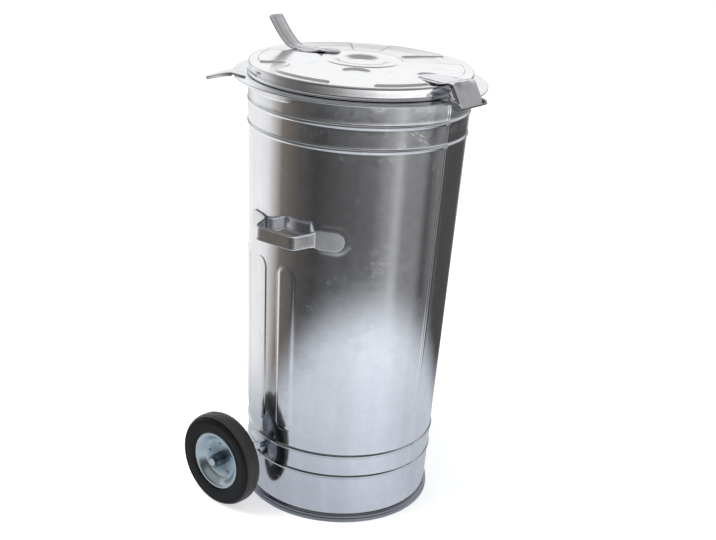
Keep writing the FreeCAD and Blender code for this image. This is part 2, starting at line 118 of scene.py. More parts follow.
def rounded(path, times=2):
    # corner cutting that keeps both ends
    path = np.array(path, float)
    for _ in range(times):
        a = path[:-1] * 0.75 + path[1:] * 0.25
        b = path[:-1] * 0.25 + path[1:] * 0.75
        inner = np.stack([a, b], 1).reshape(-1, 2)
        path = np.vstack([path[:1], inner, path[-1:]])
    return path


def inwardOf(path):
    # unit normals to the left of a path's direction
    tangent = np.gradient(path, axis=0)
    tangent /= np.hypot(tangent[:, 0], tangent[:, 1])[:, None]
    return np.column_stack([-tangent[:, 1], tangent[:, 0]])


def joined(pieces, name):
    clearSelection()
    for piece in pieces:
        piece.select_set(True)
    bpy.context.view_layer.objects.active = pieces[0]
    bpy.ops.object.join()
    pieces[0].name = name
    return pieces[0]


def mirroredCopy(piece, name):
    # the same piece on the other side, with its own mesh
    clearSelection()
    piece.select_set(True)
    bpy.context.view_layer.objects.active = piece
    bpy.ops.object.duplicate()
    copy = bpy.context.object
    copy.name = name
    bpy.ops.object.mode_set(mode="EDIT")
    bpy.ops.mesh.select_all(action="SELECT")
    bpy.ops.transform.mirror(constraint_axis=(True, False, False), center_override=(0, 0, 0))
    bpy.ops.mesh.normals_make_consistent(inside=False)
    bpy.ops.object.mode_set(mode="OBJECT")
    return copy


def addSolidify(piece, thickness, offset=-1.0):
    clearSelection()
    piece.select_set(True)
    bpy.context.view_layer.objects.active = piece
    wall = piece.modifiers.new("wall", "SOLIDIFY")
    wall.thickness = thickness
    wall.offset = offset
    bpy.ops.object.modifier_apply(modifier="wall")


def shadeSmooth(piece, degrees=35):
    clearSelection()
    piece.select_set(True)
    bpy.context.view_layer.objects.active = piece
    bpy.ops.object.shade_smooth_by_angle(angle=math.radians(degrees))


def facingOut(piece):
    # a closed single skin whose first ring of faces should look away from the axis
    mesh = piece.data
    outward = sum(p.normal.x * p.center.x + p.normal.y * p.center.y for p in mesh.polygons if p.center.z < 0.6)
    if outward < 0:
        mesh.flip_normals()


def finishPiece(piece, body, material, *replaced):
    piece.data.materials.clear()
    piece.data.materials.append(material)
    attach(piece, body)
    if replaced:
        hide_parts(*replaced)


def paintFaces(piece, material, chosen):
    # a finish of their own for some faces, such as the darker zinc put on side edges and shaded faces as painted shade
    piece.data.materials.append(material)
    slot = len(piece.data.materials) - 1
    for face in piece.data.polygons:
        if chosen(face.normal, face.center):
            face.material_index = slot


def smooth(t):
    t = np.clip(t, 0, 1)
    return t * t * (3 - 2 * t)


def nodeGraph(name):
    material = bpy.data.materials.new(name)
    material.use_nodes = True
    tree = material.node_tree
    tree.nodes.clear()
    output = tree.nodes.new("ShaderNodeOutputMaterial")
    shader = tree.nodes.new("ShaderNodeBsdfPrincipled")
    tree.links.new(shader.outputs[0], output.inputs[0])
    coords = tree.nodes.new("ShaderNodeTexCoord")
    return material, tree, shader, coords.outputs["Object"]


def noiseNode(tree, vector, scale, detail=4.0, rough=0.55, stretch=None):
    if stretch:
        mapping = tree.nodes.new("ShaderNodeMapping")
        mapping.inputs["Scale"].default_value = stretch
        tree.links.new(vector, mapping.inputs[0])
        vector = mapping.outputs[0]
    noise = tree.nodes.new("ShaderNodeTexNoise")
    noise.inputs["Scale"].default_value = scale
    noise.inputs["Detail"].default_value = detail
    noise.inputs["Roughness"].default_value = rough
    tree.links.new(vector, noise.inputs["Vector"])
    return noise


def rampNode(tree, value, stops):
    ramp = tree.nodes.new("ShaderNodeValToRGB")
    items = ramp.color_ramp.elements
    while len(items) < len(stops):
        items.new(0.5)
    for item, (place, colour) in zip(items, stops):
        item.position = place
        item.color = (*colour, 1)
    tree.links.new(value, ramp.inputs[0])
    return ramp


def rangeNode(tree, value, low, high, toLow, toHigh):
    node = tree.nodes.new("ShaderNodeMapRange")
    for place, number in zip((1, 2, 3, 4), (low, high, toLow, toHigh)):
        node.inputs[place].default_value = number
    tree.links.new(value, node.inputs[0])
    return node


def mathNode(tree, how, a, b):
    node = tree.nodes.new("ShaderNodeMath")
    node.operation = how
    for socket, value in zip(node.inputs, (a, b)):
        if isinstance(value, (int, float)):
            socket.default_value = value
        else:
            tree.links.new(value, socket)
    return node


def mixNode(tree, how, factor, a, b):
    node = tree.nodes.new("ShaderNodeMix")
    node.data_type = "RGBA"
    node.blend_type = how
    for key, value in (("Factor", factor), ("A", a), ("B", b)):
        if isinstance(value, (int, float)):
            node.inputs[key].default_value = value
        elif isinstance(value, tuple):
            node.inputs[key].default_value = (*value, 1)
        else:
            tree.links.new(value, node.inputs[key])
    return node.outputs["Result"]


def bumpNode(tree, height, strength, distance, normal=None):
    node = tree.nodes.new("ShaderNodeBump")
    node.inputs["Strength"].default_value = strength
    node.inputs["Distance"].default_value = distance
    tree.links.new(height, node.inputs["Height"])
    if normal:
        tree.links.new(normal, node.inputs["Normal"])
    return node.outputs[0]


def scratchMask(tree, place, turn, stretch, seed, amount):
    # thin long lines in one direction, kept only in scattered patches
    turned = tree.nodes.new("ShaderNodeMapping")
    turned.inputs["Rotation"].default_value = turn
    turned.inputs["Location"].default_value = (seed, seed * 0.7, seed * 1.3)
    tree.links.new(place, turned.inputs[0])
    mapping = tree.nodes.new("ShaderNodeMapping")
    mapping.inputs["Scale"].default_value = stretch
    tree.links.new(turned.outputs[0], mapping.inputs[0])
    cells = tree.nodes.new("ShaderNodeTexVoronoi")
    cells.feature = "DISTANCE_TO_EDGE"
    cells.inputs["Scale"].default_value = 1
    tree.links.new(mapping.outputs[0], cells.inputs["Vector"])
    line = rangeNode(tree, cells.outputs["Distance"], 0.0, 0.04, 1, 0)
    patch = noiseNode(tree, turned.outputs[0], 17, 3)
    kept = rangeNode(tree, patch.outputs[0], 0.66 - amount, 0.72 - amount, 0, 1)
    return mathNode(tree, "MULTIPLY", line.outputs[0], kept.outputs[0]).outputs[0]


def galvanisedSheet(name, look):
    material, tree, shader, place = nodeGraph(name)
    warp = noiseNode(tree, place, 14, 2)
    mixed = tree.nodes.new("ShaderNodeVectorMath")
    mixed.operation = "MULTIPLY_ADD"
    mixed.inputs[1].default_value = (0.03, 0.03, 0.03)
    tree.links.new(warp.outputs["Color"], mixed.inputs[0])
    tree.links.new(place, mixed.inputs[2])
    flakes = tree.nodes.new("ShaderNodeTexVoronoi")     # zinc crystals
    flakes.inputs["Scale"].default_value = look["flakeScale"]
    tree.links.new(mixed.outputs[0], flakes.inputs["Vector"])
    flakeTone = tree.nodes.new("ShaderNodeSeparateColor")
    tree.links.new(flakes.outputs["Color"], flakeTone.inputs[0])
    cloud = noiseNode(tree, place, 5, 5)
    streak = noiseNode(tree, place, 1, 3, stretch=(26, 26, 1.6))
    dust = noiseNode(tree, place, 160, 3)
    scuffA = scratchMask(tree, place, (0.6, 0.9, 0.3), (300, 300, 7), 1.0, look["scratch"])
    scuffB = scratchMask(tree, place, (-0.8, 0.5, 1.1), (260, 260, 6), 5.0, look["scratch"])
    scuff = mathNode(tree, "MAXIMUM", scuffA, scuffB).outputs[0]
    base = rampNode(tree, cloud.outputs[0], ((0.3, look["dark"]), (0.7, look["light"]))).outputs[0]
    flakeShade = rangeNode(tree, flakeTone.outputs[0], 0, 1, 1 - look["flakeTone"], 1 + look["flakeTone"])
    streakShade = rangeNode(tree, streak.outputs[0], 0.3, 0.7, 1 - look["streak"], 1 + look["streak"])
    shade = mathNode(tree, "MULTIPLY", flakeShade.outputs[0], streakShade.outputs[0]).outputs[0]
    base = mixNode(tree, "MULTIPLY", 1, base, shade)
    base = mixNode(tree, "MIX", rangeNode(tree, scuff, 0, 1, 0, look["scuffDepth"]).outputs[0], base, look["scuffColour"])
    tree.links.new(base, shader.inputs["Base Color"])
    shader.inputs["Metallic"].default_value = 1
    roughA = rangeNode(tree, cloud.outputs[0], 0.3, 0.7, look["rough"] - 0.02, look["rough"] + 0.03)
    roughB = rangeNode(tree, flakeTone.outputs[1], 0, 1, -0.02, 0.02)
    total = mathNode(tree, "ADD", roughA.outputs[0], roughB.outputs[0]).outputs[0]
    total = mathNode(tree, "ADD", total, rangeNode(tree, scuff, 0, 1, 0, 0.12).outputs[0]).outputs[0]
    tree.links.new(total, shader.inputs["Roughness"])
    wave = noiseNode(tree, place, look["waveScale"], 2, 0.5)
    normal = bumpNode(tree, wave.outputs[0], look["wave"], 0.004)
    grain = mathNode(tree, "ADD", flakeTone.outputs[2], dust.outputs[0])
    normal = bumpNode(tree, grain.outputs[0], look["grain"], 0.0004, normal)
    normal = bumpNode(tree, scuff, 0.12, -0.0003, normal)
    tree.links.new(normal, shader.inputs["Normal"])
    return material


wallLook = {"flakeScale": 70, "flakeTone": 0.02, "dark": (0.75, 0.77, 0.80), "light": (0.83, 0.85, 0.88), "streak": 0.035, "scuffDepth": 0.2,
            "scratch": 0.05, "scuffColour": (0.95, 0.96, 0.98), "rough": 0.12, "wave": 0.04, "waveScale": 5, "grain": 0.03}
lidLook = {"flakeScale": 70, "flakeTone": 0.01, "dark": (0.87, 0.88, 0.90), "light": (0.94, 0.945, 0.955), "streak": 0.0, "scuffDepth": 0.5,
           "scratch": 0.04, "scuffColour": (0.66, 0.68, 0.72), "rough": 0.15, "wave": 0.05, "waveScale": 9, "grain": 0.03}
strapLook = {"flakeScale": 90, "flakeTone": 0.03, "dark": (0.76, 0.77, 0.80), "light": (0.86, 0.87, 0.90), "streak": 0.02, "scuffDepth": 0.35,
             "scratch": 0.07, "scuffColour": (0.95, 0.96, 0.98), "rough": 0.19, "wave": 0.12, "waveScale": 22, "grain": 0.05}
leverLook = dict(strapLook, dark=(0.86, 0.87, 0.90), light=(0.93, 0.935, 0.95), rough=0.42)
# a darker copy of the strap zinc, used as painted shade on the hood's front faces
hoodPaintedShadeLook = dict(strapLook, dark=(0.58, 0.575, 0.61), light=(0.69, 0.685, 0.72), rough=0.25)
# a darker copy of the zinc, used as painted shade on the foot ring, the inner wheel discs and the shaded faces of
# handles, strap and lever
paintedShadeLook = dict(wallLook, dark=(0.27, 0.28, 0.31), light=(0.40, 0.41, 0.44), rough=0.26)
wallZinc = galvanisedSheet("galvanisedWall", wallLook)
lidZinc = galvanisedSheet("galvanisedLid", lidLook)
strapZinc = galvanisedSheet("galvanisedStrap", strapLook)
leverZinc = galvanisedSheet("galvanisedLever", leverLook)
hoodPaintedShadeZinc = galvanisedSheet("galvanisedHoodPaintedShade", hoodPaintedShadeLook)
paintedShadeZinc = galvanisedSheet("galvanisedPaintedShade", paintedShadeLook)


def axleDistance(tree, place):
    aside = tree.nodes.new("ShaderNodeVectorMath")
    aside.operation = "SUBTRACT"
    aside.inputs[1].default_value = (0, 0.1, 0.1)
    tree.links.new(place, aside.inputs[0])
    flat = tree.nodes.new("ShaderNodeVectorMath")
    flat.operation = "MULTIPLY"
    flat.inputs[1].default_value = (0, 1, 1)
    tree.links.new(aside.outputs[0], flat.inputs[0])
    away = tree.nodes.new("ShaderNodeVectorMath")
    away.operation = "LENGTH"
    tree.links.new(flat.outputs[0], away.inputs[0])
    return away.outputs["Value"]


def blackRubber():
    material, tree, shader, place = nodeGraph("blackRubber")
    cloud = noiseNode(tree, place, 40, 5)
    speck = noiseNode(tree, place, 420, 3)
    base = rampNode(tree, cloud.outputs[0], ((0.35, (0.003, 0.003, 0.0033)), (0.7, (0.007, 0.0067, 0.0067))))
    # the tread is coloured lighter than the sides as a painted highlight
    treadPaintedHighlight = rangeNode(tree, axleDistance(tree, place), 0.0945, 0.097, 0, 1).outputs[0]
    tree.links.new(mixNode(tree, "MIX", treadPaintedHighlight, base.outputs[0], (0.05, 0.049, 0.047)), shader.inputs["Base Color"])
    rough = rangeNode(tree, cloud.outputs[0], 0.3, 0.7, 0.26, 0.38)
    shader.inputs["Specular IOR Level"].default_value = 0.26
    tree.links.new(rough.outputs[0], shader.inputs["Roughness"])
    bump = tree.nodes.new("ShaderNodeBump")
    bump.inputs["Strength"].default_value = 0.25
    bump.inputs["Distance"].default_value = 0.0004
    tree.links.new(speck.outputs[0], bump.inputs["Height"])
    tree.links.new(bump.outputs[0], shader.inputs["Normal"])
    return material


def brightZinc(name, light, dark):
    # plated pressing, darker round the hub
    material, tree, shader, place = nodeGraph(name)
    cloud = noiseNode(tree, place, 30, 4)
    fine = noiseNode(tree, place, 500, 2)
    base = rampNode(tree, cloud.outputs[0], ((0.3, dark), (0.7, light))).outputs[0]
    patchy = mathNode(tree, "MULTIPLY_ADD", cloud.outputs[0], 0.02)
    tree.links.new(axleDistance(tree, place), patchy.inputs[2])
    hubDarkening = rampNode(tree, rangeNode(tree, patchy.outputs[0], 0.01, 0.08, 0, 1).outputs[0],
                       ((0.0, (1, 1, 1)), (0.09, (1, 1, 1)), (0.15, (0.34, 0.36, 0.38)), (0.32, (0.46, 0.5, 0.53)), (0.5, (0.72, 0.77, 0.8)), (0.62, (0.95, 0.97, 0.98)), (1, (1, 1, 1))))
    base = mixNode(tree, "MULTIPLY", 1, base, hubDarkening.outputs[0])
    tree.links.new(base, shader.inputs["Base Color"])
    shader.inputs["Metallic"].default_value = 1
    rough = rangeNode(tree, cloud.outputs[0], 0.3, 0.7, 0.23, 0.34)
    tree.links.new(rough.outputs[0], shader.inputs["Roughness"])
    tree.links.new(bumpNode(tree, fine.outputs[0], 0.06, 0.0004), shader.inputs["Normal"])
    return material


rubber = blackRubber()
rimZinc = brightZinc("brightZincPlate", (0.74, 0.84, 0.88), (0.56, 0.66, 0.70))
for name, node in nodes.items():
    if "tyre" in name:
        chosen = rubber
    elif any(word in name for word in ("rim_", "hub_", "axle_washers", "axle_clip", "stub_axle", "pin")):
        chosen = rimZinc
    elif name.startswith("lid_shell") or "_rivets" in name:
        chosen = lidZinc
    elif any(word in name for word in ("strap", "lever", "lug", "handle", "bracket")):
        chosen = strapZinc
    else:
        chosen = wallZinc
    node.data.materials.clear()
    node.data.materials.append(chosen)
print("materials made")


can = {"foot": 194.1, "flare": 0.0309, "sheet": 1.2, "swages": (106.3, 154.2, 804.0, 849.7), "swageHalf": 4.8, "swageProud": 2.3,
       "neck": 216.9, "shoulder": 892.0, "ribs": [-4.5 + 21 * i for i in range(10)], "ribHalf": 18.5, "ribLow": 190, "ribHigh": 552,
       "ribProud": 1.3, "seatHalf": 37.0, "seatTall": 27.0, "seatMiddle": 625.0, "seatProud": 1.3, "seam": 270.0}
seatTurn = (16.0 - 2.0 + 31.7 + 3.3) / 2
can["seats"] = [185 - seatTurn, 185 + seatTurn, -5 - seatTurn, -5 + seatTurn]


def wallRadius(z):
    return can["foot"] + can["flare"] * z


def wallRows():
    rows = set([0.5, 8, 17.5, 30, 50, 75, 92])
    for z in can["swages"]:
        rows.update(z + d for d in (-6, -4.6, -3.6, -2.6, -1.7, -0.8, 0, 0.8, 1.7, 2.6, 3.6, 4.6, 6))
    rows.update((118, 130, 142, 170, 182, 792, 816, 827, 838, 862, 872, 882))
    rows.update(can["ribLow"] + d for d in (-2, -1, 0, 1, 2, 3.5, 5, 7, 9, 11, 13, 15, 17, 20))
    rows.update(can["ribHigh"] - d for d in (-2, -1, 0, 1, 2, 3.5, 5, 7, 9, 11, 13, 15, 17, 20))
    rows.update(range(230, 535, 20))
    rows.update(np.arange(591.5, 659.5, 2.0))
    rows.update((565, 580, 675, 700, 725, 750, 775))
    return sorted(rows)


def wallAzimuths(steps):
    # grid lines crowd at rib edges, seats and the seam, and spread out on the plain front
    wanted = np.linspace(-60, 300, 7201)
    weight = np.full(len(wanted), 0.45)
    for middle in can["ribs"]:
        for edge in (-5.15, 5.15):
            weight += 2.6 * np.exp(-((wanted - middle - edge) / 0.5) ** 2)
    for middle in can["seats"]:
        weight += 0.8 * (np.abs(wanted - middle) < 12.5)
    for shift in (-360, 0, 360):
        weight += 3.0 * np.exp(-((wanted - can["seam"] - shift) / 1.6) ** 2)
    total = np.concatenate([[0], np.cumsum((weight[1:] + weight[:-1]) / 2)])
    total *= steps / total[-1]
    return np.interp(np.arange(steps), total, wanted)


def stadium(across, up, halfAcross, halfUp):
    radius = min(halfAcross, halfUp)
    dx = np.maximum(np.abs(across) - (halfAcross - radius), 0)
    dz = np.maximum(np.abs(up) - (halfUp - radius), 0)
    return np.hypot(dx, dz) - radius


def makeWall():
    profile = []
    for z in wallRows():
        bump = 0
        for swage in can["swages"]:
            bump += can["swageProud"] * max(0, math.cos(math.pi / 2 * min(1, abs(z - swage) / can["swageHalf"]))) ** 1.3
        profile.append((wallRadius(z) + bump, z))
    neck = can["neck"]
    profile += [(wallRadius(889.5), 889.5), (wallRadius(892), 892), (neck + 2.6, 894.4), (neck + 0.7, 896.2), (neck, 898.2), (neck, 904),
                (neck, 910), (neck - 0.2, 912.6), (neck - 1.0, 914.3), (neck - 2.6, 915)]
    steps = 288
    wall = spinPiece("canWall", profile, steps)
    points = pointsOf(wall)
    index = np.round(np.degrees(np.arctan2(points[:, 1], points[:, 0])) % 360 / (360 / steps)).astype(int) % steps
    azimuth = np.radians(wallAzimuths(steps)[index])
    radius = np.hypot(points[:, 0], points[:, 1]) * 1000
    z = points[:, 2] * 1000
    degrees = np.degrees(azimuth)
    lift = np.zeros(len(points))
    ribUp = (can["ribHigh"] - can["ribLow"]) / 2
    for middle in can["ribs"]:
        across = ((degrees - middle + 180) % 360 - 180) * 3.59     # constant angle, mm at mid height
        gap = stadium(across, z - (can["ribHigh"] + can["ribLow"]) / 2, can["ribHalf"], ribUp)
        lift = np.maximum(lift, can["ribProud"] * smooth(0.5 - gap / 1.7))
    for middle in can["seats"]:
        across = np.radians((degrees - middle + 180) % 360 - 180) * 213.4
        gap = stadium(across, z - can["seatMiddle"], can["seatHalf"], can["seatTall"])
        lift = np.maximum(lift, 0.75 * smooth(0.5 - gap / 14.0))
    side = np.radians((degrees - can["seam"] + 180) % 360 - 180) * 210
    ridge = 0.9 * (smooth(2.0 - np.abs(np.abs(side) - 3.2) / 0.9)) + 0.25 * (np.abs(side) < 3.2)
    lift += ridge * (z > 18) * (z < 874)
    setPoints(wall, np.column_stack([(radius + lift) * np.cos(azimuth), (radius + lift) * np.sin(azimuth), z]) / 1000)
    facingOut(wall)
    addSolidify(wall, can["sheet"] / 1000)
    shadeSmooth(wall, 50)
    finishPiece(wall, "bin", wallZinc, "body_shell")
    print("can wall made", len(wall.data.polygons))


makeWall()


lid = {"sheet": 1.5, "foot": 899.3, "skirt": 222.1, "top": 924.0, "bead": 2.3, "plate": 207.0, "arms": ((35, 118), (95, 118), (155, 188), (215, 118), (270, 172), (332, 112)),
       "outerHalf": 43.0, "innerHalf": 30.0, "edge": 4.2}


def starHeight(r):
    return np.interp(r, (0, 14, 22, 30, 38, 46, 54, 62, 70, 77, 79, 80.6, 82, 86, 140, 203.5, 206),
                     (925.0, 925.0, 925.5, 926.8, 929.2, 931.8, 933.4, 934.0, 934.2, 934.1, 933.8, 932.7, 932.3, 932.1, 930.5, 927.3, 926.9))


def floorHeight(r):
    return np.interp(r, (0, 86, 140, 205, 218), (924.0, 929.2, 927.6, 924.6, 924.3))


def makeLid():
    rings = [0.5, 5, 9, 13] + list(np.arange(16, 76, 2.5)) + list(np.arange(77.2, 84, 0.7)) + list(np.arange(85, 201, 2.2))
    rings += list(np.arange(202.3, 209, 0.6)) + [211, 214, 217]
    profile = [(r, float(starHeight(r) if r < 205 else floorHeight(r))) for r in rings]
    top, skirt = lid["top"], lid["skirt"]
    profile += [(219.2, top + 0.3), (220.6, top - 0.1), (221.6, top - 1.0), (222.1, top - 2.4), (222.2, top - 5), (222.1, top - 11),
                (222.0, top - 17), (222.0, top - 19.2)]
    bead = lid["bead"]
    for turn in range(60, -181, -24):
        angle = math.radians(turn)
        profile.append((skirt + bead * math.cos(angle), lid["foot"] + bead + bead * math.sin(angle)))
    under = [(r - 1.5 if r > 215 else r, z - 1.5) for i, (r, z) in enumerate(profile[:-11]) if i % 2 or r > 200]
    profile = profile + [(220.4, 903.5)] + [p for p in under[::-1] if p[1] > 905]
    steps = 480
    panel = spinPiece("lidPanel", profile, steps)
    points = pointsOf(panel)
    x, y, z = (points * 1000).T
    radius = np.hypot(x, y)
    mask = np.zeros(len(points))
    for turn, shoulder in lid["arms"]:
        angle = math.radians(turn)
        along = x * math.cos(angle) + y * math.sin(angle)
        across = -x * math.sin(angle) + y * math.cos(angle)
        half = lid["innerHalf"] + (along - shoulder) * (lid["outerHalf"] - lid["innerHalf"]) / (205 - shoulder)
        straight = np.abs(across) - half
        round_ = np.hypot(along - shoulder, across) - lid["innerHalf"]
        gap = np.where(along > shoulder, straight, round_)
        mask = np.maximum(mask, smooth(0.5 - gap / lid["edge"]))
    mask = np.maximum(mask, smooth((radius - 202.2) / 2.2))
    drop = (starHeight(radius) - floorHeight(radius)) * mask
    flat = (z > 915) & (radius < 205)
    z = np.where(flat, z - drop, z)
    setPoints(panel, np.column_stack([x, y, z]) / 1000)
    clearSelection()
    panel.select_set(True)
    bpy.context.view_layer.objects.active = panel
    bpy.ops.object.mode_set(mode="EDIT")
    bpy.ops.mesh.select_all(action="SELECT")
    bpy.ops.mesh.normals_make_consistent(inside=False)
    bpy.ops.object.mode_set(mode="OBJECT")
    shadeSmooth(panel, 50)
    finishPiece(panel, "lid", lidZinc, "lid_shell")
    print("lid made", len(panel.data.polygons))


makeLid()


collar = {"neck": 217.3, "top": 899.0, "sheet": 1.5, "rim": 249.72, "wire": 2.2, "foot": 222.2, "frontFoot": 889.0,
          "gusset": 877.0, "gussetStartY": -10.0, "gussetEndY": -104.0}


def makeCollar():
    top, wire, rim = collar["top"], collar["wire"], collar["rim"]
    profile = [(collar["neck"], top - 0.3), (collar["neck"] + 0.5, top), (232, top), (rim - 2.8, top)]
    for turn in range(90, -181, -18):
        angle = math.radians(turn)
        profile.append((rim + wire * math.cos(angle), top - wire + wire * math.sin(angle)))
    low = top - collar["sheet"]
    foot = collar["foot"]
    profile += [(rim - 2.8, low), (232, low), (foot + 2.6, low), (foot + 1.6, low - 0.9), (foot + 1.5, collar["frontFoot"] + 0.4),
                (foot + 1.1, collar["frontFoot"]), (foot + 0.3, collar["frontFoot"]), (foot, collar["frontFoot"] + 0.4),
                (foot, low - 0.3), (collar["neck"] + 0.4, low), (collar["neck"], low + 0.3), (collar["neck"], top - 0.3)]
    flange = spinPiece("collarFlange", profile, 240)
    inside = wallRadius(collar["gusset"]) + 0.3
    outer = [(rim + 0.9, top - 4.0), (rim - 9, top - 9.1), (inside + 8, collar["gusset"] + 5.0), (inside + 3.4, collar["gusset"] + 2.4),
             (inside + 1.9, collar["gusset"] + 0.8), (inside + 1.5, collar["gusset"] - 2.0)]
    inner = [(inside + 0.2, collar["gusset"] - 2.0), (inside + 0.6, collar["gusset"] + 1.6), (inside + 6.8, collar["gusset"] + 6.2),
             (rim - 1.2, top - 4.2)]
    gusset = spinPiece("collarGusset", outer + inner + outer[:1], 240)
    slope = (top - collar["gusset"]) / (collar["gussetStartY"] - collar["gussetEndY"])
    clearSelection()
    gusset.select_set(True)
    bpy.context.view_layer.objects.active = gusset
    bpy.ops.object.mode_set(mode="EDIT")
    bpy.ops.mesh.select_all(action="SELECT")
    bpy.ops.mesh.bisect(plane_co=(0, collar["gussetStartY"] / 1000, collar["gusset"] / 1000), plane_no=(0, slope, 1),
                        clear_inner=True, use_fill=True)
    bpy.ops.mesh.select_all(action="SELECT")
    bpy.ops.mesh.normals_make_consistent(inside=False)
    bpy.ops.object.mode_set(mode="OBJECT")
    whole = joined([flange, gusset], "collarRing")
    shadeSmooth(whole, 40)
    finishPiece(whole, "bin", wallZinc, "collar_ring")


makeCollar()


foot = {"radius": 200.0, "height": 17.5, "inner": 194.94, "floor": 12.0, "sheet": 1.5, "raise": 4.0}


def makeFoot():
    r = foot["radius"]
    profile = [(foot["inner"], 0.3), (foot["inner"] + 0.3, 0), (r - 2.4, 0), (r - 1.2, 0.3), (r - 0.3, 1.1), (r, 2.2), (r, 5), (r - 0.05, 7.6),
               (r - 0.3, 8.8), (r - 0.9, 9.6), (r - 1.2, 10.2), (r - 1.0, 10.9), (r - 0.7, 11.6), (r - 0.6, 13), (r - 0.8, 14.4),
               (r - 1.6, 15.9), (r - 2.6, 17.0), (r - 3.5, 17.5), (foot["inner"] + 0.3, 17.5), (foot["inner"], 17.2),
               (foot["inner"], 0.3)]
    ring = spinPiece("footRing", profile, 240)
    shadeSmooth(ring, 50)
    # the foot ring gets the dark zinc as painted shade
    finishPiece(ring, "bin", paintedShadeZinc, "base_ring")
    edge = wallRadius(0) - 1.6
    level = foot["floor"] + 2.5
    up = foot["raise"]
    top = [(edge, 1.2), (edge, foot["floor"]), (edge - 0.8, foot["floor"] + 1.6), (edge - 4, level), (150, level), (121, level),
           (119, level + 0.4), (115, level + up - 0.4), (113, level + up), (60, level + up), (30, level + up), (0.5, level + up)]
    sheet = foot["sheet"]
    under = [(max(a - (sheet if b < level - 0.5 else 0), 0.5), b - (sheet if b >= level - 0.5 else 0)) for a, b in top]
    plate = spinPiece("floorPlate", top + under[::-1] + top[:1], 200)
    shadeSmooth(plate, 40)
    finishPiece(plate, "bin", wallZinc, "bottom_plate")


makeFoot()


lug = {"azimuth": 139.5, "tip": 304.0, "sheet": 3.0, "flank": 7.0, "start": 231.0}


def makeLugs():
    reach = np.concatenate([np.linspace(lug["start"], 300, 36), lug["tip"] - 3.6 * (1 - np.sin(np.linspace(0.1, 1, 9) * np.pi / 2))])
    reach[0] += 0.01
    width = np.interp(reach, (231, 236, 241, 246, 250, 255, 261, 268, 275, 289, 300.5), (44, 38.3, 33, 27, 22, 17.2, 13.5, 10.8, 9, 7.2, 5.3))
    nose = np.clip((reach - (lug["tip"] - 4)) / 4, 0, 0.995)
    width = width * np.sqrt(1 - nose ** 2)
    depth = np.interp(reach, (252.8, 257, 300, 304), (lug["sheet"] + 0.1, lug["flank"], lug["flank"] - 1, 4.5))
    wall = np.minimum(2.6, width * 0.45)
    hollow = np.interp(reach, (298, 301), (1, 0.02))
    count = 26
    across = np.zeros((len(reach), count))
    down = np.zeros((len(reach), count))
    topAcross = (-1, -0.985, -0.94, -0.8, -0.5, 0, 0.5, 0.8, 0.94, 0.985, 1)
    for j, share in enumerate(topAcross):
        across[:, j] = share * width
        down[:, j] = (1.3, 0.5, 0.12, 0, 0, 0, 0, 0, 0.12, 0.5, 1.3)[j]
    legs = [(1, 0, 0.5), (1, 0, 1.0), (1, 0.25, 1.07), (1, 0.75, 1.07), (1, 1, 1.0), (1, 1, 0.8)]
    for k, (side, inset, share) in enumerate(legs):
        for sign, j in ((1, 11 + k), (-1, count - 1 - k)):
            across[:, j] = sign * (width - wall * inset)
            down[:, j] = np.maximum(depth * share, 1.4 if share < 0.6 else 2.2)
    for k, share in enumerate((1.0, 0.5, 0)):
        for sign, j in ((1, 17 + k), (-1, count - 7 - k)):
            if j < count:
                across[:, j] = sign * (width - wall * 1.15) * (share if k else 1)
                down[:, j] = lug["sheet"] + (depth - lug["sheet"]) * (1 - hollow)
    turn = math.radians(lug["azimuth"])

    def place(row, column):
        r, v, d = reach[row], across[row, column], down[row, column]
        level = np.interp(np.hypot(r, v), (228, 252, 256, 260, 264, 270, 277, 290, 300, 308),
                          (902.4, 902.4, 902.3, 901.9, 901.2, 899.8, 898.0, 894.4, 891.6, 889.3))
        x = r * math.cos(turn) - v * math.sin(turn)
        y = r * math.sin(turn) + v * math.cos(turn)
        return np.column_stack([x, y, level - d])

    left = sweptPiece("lugLeft", len(reach), count, place)
    shadeSmooth(left, 40)
    right = mirroredCopy(left, "lugRight")
    finishPiece(left, "bin", strapZinc, "lug_left")
    finishPiece(right, "bin", strapZinc, "lug_right")


makeLugs()
print("collar, foot and lugs made")


handle = {"azimuth": 185.0, "middle": 623.5, "reach": 255.0, "grip": 46.0, "bend": 16.0, "tabEnd": 31.7, "tabHalf": 20.0, "gripHalf": 15.0,
          "sheet": 3.0, "roll": 2.4}


